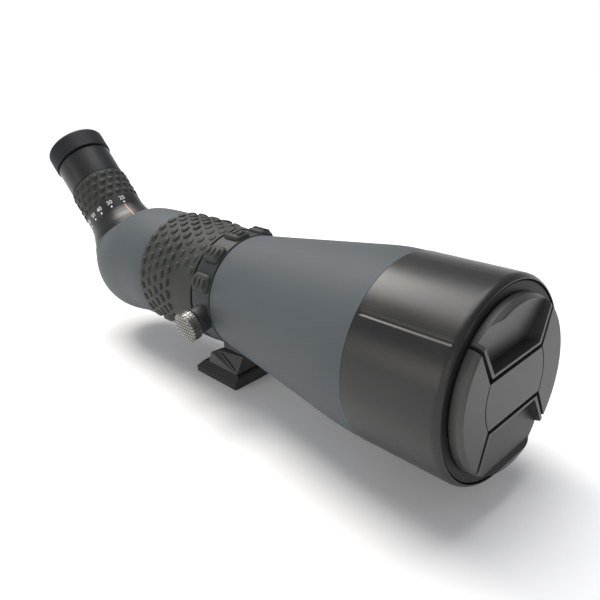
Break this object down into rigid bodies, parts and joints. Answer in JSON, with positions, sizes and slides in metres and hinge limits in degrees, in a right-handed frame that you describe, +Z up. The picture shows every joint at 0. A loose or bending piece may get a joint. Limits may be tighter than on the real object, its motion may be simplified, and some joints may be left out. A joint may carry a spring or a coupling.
{
  "type": "spotting scope",
  "caption": "Angled spotting scope with rubber armour, rotating tripod collar and foot, zoom eyepiece, sliding sunshade and a pinch-lever front cap.",
  "frame": {"origin": "centre of the mounting foot's bottom face, at the mouth of the tripod thread", "axes": "+X forward along the optical axis towards the front cap, +Z up, +Y to the left as seen from behind the eyepiece"},
  "size_m": [0.4191, 0.1047, 0.1544],
  "materials": {
    "mounting_foot": "black anodised",
    "thread_bush": "plain",
    "foot_screws": "plain",
    "collar_ring": "black anodised",
    "collar_liner": "matt",
    "collar_pads": "matt",
    "clamp_shoe": "plain",
    "lock_stud": "plain",
    "lock_knob": "black anodised",
    "main_tube": "black anodised",
    "front_armour": "matt",
    "sunshade_friction_band": "matt",
    "light_baffles": "black anodised",
    "rear_armour": "matt",
    "prism_housing": "black anodised",
    "erecting_prism": "coated",
    "prism_cage": "black anodised",
    "prism_clip_plate": "plain",
    "cage_screws": "plain",
    "objective_cell": "black anodised",
    "objective_rear_lens": "coated",
    "objective_middle_lens": "coated",
    "objective_front_lens": "coated",
    "lens_spacers": "black anodised",
    "lens_retaining_ring": "black anodised",
    "front_ring": "black anodised",
    "eyepiece_collar": "black anodised",
    "index_line": "satin black paint",
    "eyepiece_barrel": "black anodised",
    "field_stop": "black anodised",
    "field_lens": "coated",
    "eye_lens": "coated",
    "eye_lens_spacer": "black anodised",
    "eye_lens_ring": "black anodised",
    "eyepiece_sleeve": "black anodised",
    "sunshade": "black anodised",
    "cap_body": "matt",
    "cap_back_plate": "matt",
    "cap_springs_upper": "plain",
    "cap_springs_lower": "plain",
    "cap_lever_upper": "matt",
    "cap_lever_lower": "matt",
    "focus_ring_core": "black anodised",
    "focus_grip": "matt",
    "focus_carriage": "black anodised",
    "focus_lens": "coated",
    "focus_lens_ring": "black anodised",
    "focus_drive_pin": "plain",
    "zoom_ring_core": "black anodised",
    "zoom_grip": "matt",
    "zoom_carriage_front": "black anodised",
    "zoom_lens_front": "coated",
    "zoom_carriage_rear": "black anodised",
    "zoom_lens_rear": "coated",
    "eyecup_guide": "matt",
    "eyecup_core": "black anodised",
    "eyecup_rubber": "matt"
  },
  "bodies": {
    "mount_collar": {"mounting_foot": "mounting_foot", "thread_bush": "thread_bush", "foot_screws": "foot_screws", "collar_ring": "collar_ring", "collar_liner": "collar_liner", "collar_pads": "collar_pads"},
    "clamp_shoe": {"clamp_shoe": "clamp_shoe"},
    "lock_knob": {"lock_stud": "lock_stud", "lock_knob": "lock_knob"},
    "scope": {"main_tube": "main_tube", "front_armour": "front_armour", "sunshade_friction_band": "sunshade_friction_band", "light_baffles": "light_baffles", "rear_armour": "rear_armour", "prism_housing": "prism_housing", "erecting_prism": "erecting_prism", "prism_cage": "prism_cage", "prism_clip_plate": "prism_clip_plate", "cage_screws": "cage_screws", "objective_cell": "objective_cell", "objective_rear_lens": "objective_rear_lens", "objective_middle_lens": "objective_middle_lens", "objective_front_lens": "objective_front_lens", "lens_spacers": "lens_spacers", "lens_retaining_ring": "lens_retaining_ring", "front_ring": "front_ring", "eyepiece_collar": "eyepiece_collar", "index_line": "index_line", "eyepiece_barrel": "eyepiece_barrel", "field_stop": "field_stop", "field_lens": "field_lens", "eye_lens": "eye_lens", "eye_lens_spacer": "eye_lens_spacer", "eye_lens_ring": "eye_lens_ring", "eyepiece_sleeve": "eyepiece_sleeve"},
    "sunshade": {"sunshade": "sunshade"},
    "lens_cap": {"cap_body": "cap_body", "cap_back_plate": "cap_back_plate", "cap_springs_upper": "cap_springs_upper", "cap_springs_lower": "cap_springs_lower"},
    "cap_lever_upper": {"cap_lever_upper": "cap_lever_upper"},
    "cap_lever_lower": {"cap_lever_lower": "cap_lever_lower"},
    "focus_ring": {"focus_ring_core": "focus_ring_core", "focus_grip": "focus_grip"},
    "focus_carriage": {"focus_carriage": "focus_carriage", "focus_lens": "focus_lens", "focus_lens_ring": "focus_lens_ring", "focus_drive_pin": "focus_drive_pin"},
    "zoom_ring": {"zoom_ring_core": "zoom_ring_core", "zoom_grip": "zoom_grip"},
    "zoom_carriage_front": {"zoom_carriage_front": "zoom_carriage_front", "zoom_lens_front": "zoom_lens_front"},
    "zoom_carriage_rear": {"zoom_carriage_rear": "zoom_carriage_rear", "zoom_lens_rear": "zoom_lens_rear"},
    "eyecup_guide": {"eyecup_guide": "eyecup_guide"},
    "eyecup": {"eyecup_core": "eyecup_core", "eyecup_rubber": "eyecup_rubber"}
  },
  "joints": [
    {"name": "collar_rotation", "type": "hinge", "parent": "mount_collar", "child": "scope", "pos_m": [0.017, 0, 0.065], "axis": [1, 0, 0], "continuous": true},
    {"name": "clamp_travel", "type": "slide", "parent": "mount_collar", "child": "clamp_shoe", "axis": [0, -0.9848, -0.1736], "range_m": [0, 0.00075]},
    {"name": "lock_knob_turn", "type": "hinge", "parent": "clamp_shoe", "child": "lock_knob", "pos_m": [0.017, 0, 0.065], "axis": [0, -0.9848, -0.1736], "range_deg": [0, 270]},
    {"name": "focus_turn", "type": "hinge", "parent": "scope", "child": "focus_ring", "pos_m": [-0.02, 0, 0.065], "axis": [1, 0, 0], "range_deg": [-90, 270]},
    {"name": "focus_travel", "type": "slide", "parent": "scope", "child": "focus_carriage", "axis": [1, 0, 0], "range_m": [-0.0063, 0.0189]},
    {"name": "zoom_turn", "type": "hinge", "parent": "scope", "child": "zoom_ring", "pos_m": [-0.1205, 0, 0.065], "axis": [-0.7071, 0, 0.7071], "range_deg": [0, 95]},
    {"name": "zoom_front_travel", "type": "slide", "parent": "scope", "child": "zoom_carriage_front", "axis": [-0.7071, 0, 0.7071], "range_m": [0, 0.00366]},
    {"name": "zoom_rear_travel", "type": "slide", "parent": "scope", "child": "zoom_carriage_rear", "axis": [-0.7071, 0, 0.7071], "range_m": [-0.00266, 0]},
    {"name": "eyecup_rise", "type": "slide", "parent": "scope", "child": "eyecup_guide", "axis": [-0.7071, 0, 0.7071], "range_m": [0, 0.01]},
    {"name": "eyecup_twist", "type": "hinge", "parent": "eyecup_guide", "child": "eyecup", "pos_m": [-0.1205, 0, 0.065], "axis": [-0.7071, 0, 0.7071], "range_deg": [0, 90]},
    {"name": "sunshade_slide", "type": "slide", "parent": "scope", "child": "sunshade", "axis": [1, 0, 0], "range_m": [0, 0.034]},
    {"name": "cap_removal", "type": "slide", "parent": "scope", "child": "lens_cap", "axis": [1, 0, 0], "range_m": [0, 0.06]},
    {"name": "upper_lever_pinch", "type": "slide", "parent": "lens_cap", "child": "cap_lever_upper", "axis": [0, 0, -1], "range_m": [0, 0.002], "stiffness_N_per_m": 800, "deforming": ["cap_springs_upper"]},
    {"name": "lower_lever_pinch", "type": "slide", "parent": "lens_cap", "child": "cap_lever_lower", "axis": [0, 0, 1], "range_m": [0, 0.002], "stiffness_N_per_m": 800, "deforming": ["cap_springs_lower"]}
  ],
  "couplings": [
    {"joint": "clamp_travel", "follows": "lock_knob_turn", "m_per_rad": 0.00015915},
    {"joint": "focus_travel", "follows": "focus_turn", "m_per_rad": 0.004},
    {"joint": "zoom_front_travel", "follows": "zoom_turn", "m_per_rad": 0.0022},
    {"joint": "zoom_rear_travel", "follows": "zoom_turn", "m_per_rad": -0.0016},
    {"joint": "eyecup_rise", "follows": "eyecup_twist", "m_per_rad": 0.0063}
  ]
}
